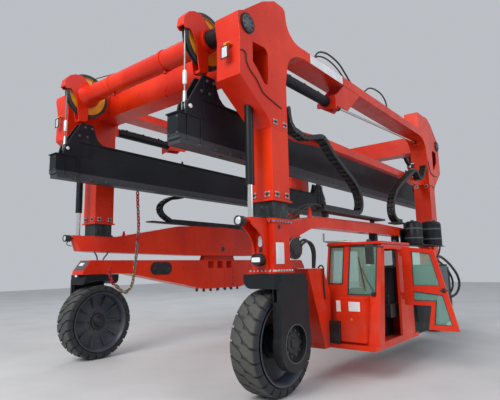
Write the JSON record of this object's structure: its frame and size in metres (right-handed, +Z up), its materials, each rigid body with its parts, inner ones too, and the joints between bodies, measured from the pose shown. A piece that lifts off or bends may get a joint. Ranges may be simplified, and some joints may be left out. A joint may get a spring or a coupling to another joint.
{
  "type": "straddle carrier",
  "caption": "Orange-red straddle carrier with telescopic legs, steered wheels, black lifting beams on ropes, a rocker on the left side and a low side cab with an open door.",
  "frame": {"origin": "on the ground in the middle of the load bay, halfway between the four leg centre lines", "axes": "+X to the right, the cab side; +Y along the machine away from the cab's windscreen; +Z up"},
  "size_m": [5.826, 8.68, 5.02],
  "materials": {
    "red_paint": "gloss",
    "dark_paint": "satin",
    "rim_paint": "satin",
    "yellow_paint": "gloss",
    "tyre_rubber": "matte",
    "chain_plastic": "matte",
    "rod_chrome": "polished",
    "cab_glass": "clear",
    "seat_fabric": "matte",
    "rope_steel": "brushed",
    "chain_steel": "gloss"
  },
  "bodies": {
    "right_frame": {"inner_legs_right": "dark_paint", "bases_right": "red_paint", "low_beam_right": "red_paint", "cab_floor": "red_paint", "cab_body": "red_paint", "cab_roof": "red_paint", "cab_glass": "cab_glass", "cab_seat": "seat_fabric", "cab_mirror": "chain_plastic", "engine_block": "dark_paint", "power_pack": "dark_paint", "side_tank": "dark_paint", "canisters": "dark_paint", "lift_rods_right": "rod_chrome", "tray_right": "chain_plastic", "energy_chains_right": "chain_plastic"},
    "gantry": {"upper_leg_a": "red_paint", "upper_leg_b": "red_paint", "upper_leg_c": "red_paint", "upper_leg_d": "red_paint", "top_beams": "red_paint", "cross_beams": "red_paint", "tie_beams": "red_paint", "cross_shafts": "dark_paint", "carriages": "red_paint", "lift_barrels": "dark_paint", "hoist_cylinders": "dark_paint", "valve_blocks": "chain_plastic"},
    "left_frame": {"inner_legs_left": "dark_paint", "side_beam_left": "red_paint", "rocker_left": "red_paint", "rocker_pin": "rod_chrome", "lift_rods_left": "rod_chrome", "tray_left": "chain_plastic", "energy_chain_left": "chain_plastic"},
    "door": {"cab_door": "red_paint", "door_glass": "cab_glass"},
    "lifting_right": {"lifting_beam_right": "dark_paint", "ropes_right": "rope_steel"},
    "lifting_left": {"lifting_beam_left": "dark_paint", "lifting_chain": "chain_steel", "ropes_left": "rope_steel"},
    "steer_a": {"fork_a": "dark_paint"},
    "wheel_a": {"tyre_a": "tyre_rubber", "rim_a": "rim_paint"},
    "pulley_a": {"sheave_a": "yellow_paint"},
    "steer_b": {"fork_b": "dark_paint"},
    "wheel_b": {"tyre_b": "tyre_rubber", "rim_b": "rim_paint"},
    "pulley_b": {"sheave_b": "yellow_paint"},
    "steer_c": {"fork_c": "dark_paint"},
    "wheel_c": {"tyre_c": "tyre_rubber", "rim_c": "rim_paint"},
    "pulley_c": {"sheave_c": "yellow_paint"},
    "steer_d": {"fork_d": "dark_paint"},
    "wheel_d": {"tyre_d": "tyre_rubber", "rim_d": "rim_paint"},
    "pulley_d": {"sheave_d": "yellow_paint"}
  },
  "joints": [
    {"name": "mast_lift", "type": "slide", "parent": "right_frame", "child": "gantry", "axis": [0, 0, 1], "range_m": [0, 1.5], "deforming": ["energy_chains_right"]},
    {"name": "mast_lift_left", "type": "slide", "parent": "gantry", "child": "left_frame", "axis": [0, 0, -1], "range_m": [0, 1.5], "deforming": ["energy_chain_left"]},
    {"name": "door_hinge", "type": "hinge", "parent": "right_frame", "child": "door", "pos_m": [2.806, -1.08, 1.4], "axis": [0, 0, 1], "range_deg": [-90, 10]},
    {"name": "hoist_right", "type": "slide", "parent": "gantry", "child": "lifting_right", "axis": [0, 0, 1], "range_m": [-1.4, 0], "deforming": ["ropes_right"]},
    {"name": "hoist_left", "type": "slide", "parent": "gantry", "child": "lifting_left", "axis": [0, 0, 1], "range_m": [-1.4, 0], "deforming": ["ropes_left"]},
    {"name": "steer_a", "type": "hinge", "parent": "right_frame", "child": "steer_a", "pos_m": [1.935, -3.155, 1.44], "axis": [0, 0, 1], "range_deg": [-90, 90]},
    {"name": "roll_a", "type": "hinge", "parent": "steer_a", "child": "wheel_a", "pos_m": [1.935, -3.155, 0.625], "axis": [1, 0, 0], "continuous": true},
    {"name": "pulley_a", "type": "hinge", "parent": "gantry", "child": "pulley_a", "pos_m": [1.41, -3.781, 4.44], "axis": [1, 0, 0], "range_deg": [0, 226]},
    {"name": "steer_b", "type": "hinge", "parent": "left_frame", "child": "steer_b", "pos_m": [-1.935, -3.155, 1.44], "axis": [0, 0, 1], "range_deg": [-90, 90]},
    {"name": "roll_b", "type": "hinge", "parent": "steer_b", "child": "wheel_b", "pos_m": [-1.935, -3.155, 0.625], "axis": [1, 0, 0], "continuous": true},
    {"name": "pulley_b", "type": "hinge", "parent": "gantry", "child": "pulley_b", "pos_m": [-1.41, -3.781, 4.44], "axis": [1, 0, 0], "range_deg": [0, 226]},
    {"name": "steer_c", "type": "hinge", "parent": "right_frame", "child": "steer_c", "pos_m": [1.935, 3.155, 1.44], "axis": [0, 0, 1], "range_deg": [-90, 90]},
    {"name": "roll_c", "type": "hinge", "parent": "steer_c", "child": "wheel_c", "pos_m": [1.935, 3.155, 0.625], "axis": [1, 0, 0], "continuous": true},
    {"name": "pulley_c", "type": "hinge", "parent": "gantry", "child": "pulley_c", "pos_m": [1.41, 3.781, 4.44], "axis": [1, 0, 0], "range_deg": [-226, 0]},
    {"name": "steer_d", "type": "hinge", "parent": "left_frame", "child": "steer_d", "pos_m": [-1.935, 3.155, 1.44], "axis": [0, 0, 1], "range_deg": [-90, 90]},
    {"name": "roll_d", "type": "hinge", "parent": "steer_d", "child": "wheel_d", "pos_m": [-1.935, 3.155, 0.625], "axis": [1, 0, 0], "continuous": true},
    {"name": "pulley_d", "type": "hinge", "parent": "gantry", "child": "pulley_d", "pos_m": [-1.41, 3.781, 4.44], "axis": [1, 0, 0], "range_deg": [-226, 0]}
  ],
  "couplings": [
    {"joint": "mast_lift_left", "follows": "mast_lift", "ratio": 1},
    {"joint": "pulley_a", "follows": "hoist_right", "rad_per_m": -2.8066},
    {"joint": "pulley_b", "follows": "hoist_left", "rad_per_m": -2.8066},
    {"joint": "pulley_c", "follows": "hoist_right", "rad_per_m": 2.8066},
    {"joint": "pulley_d", "follows": "hoist_left", "rad_per_m": 2.8066}
  ]
}
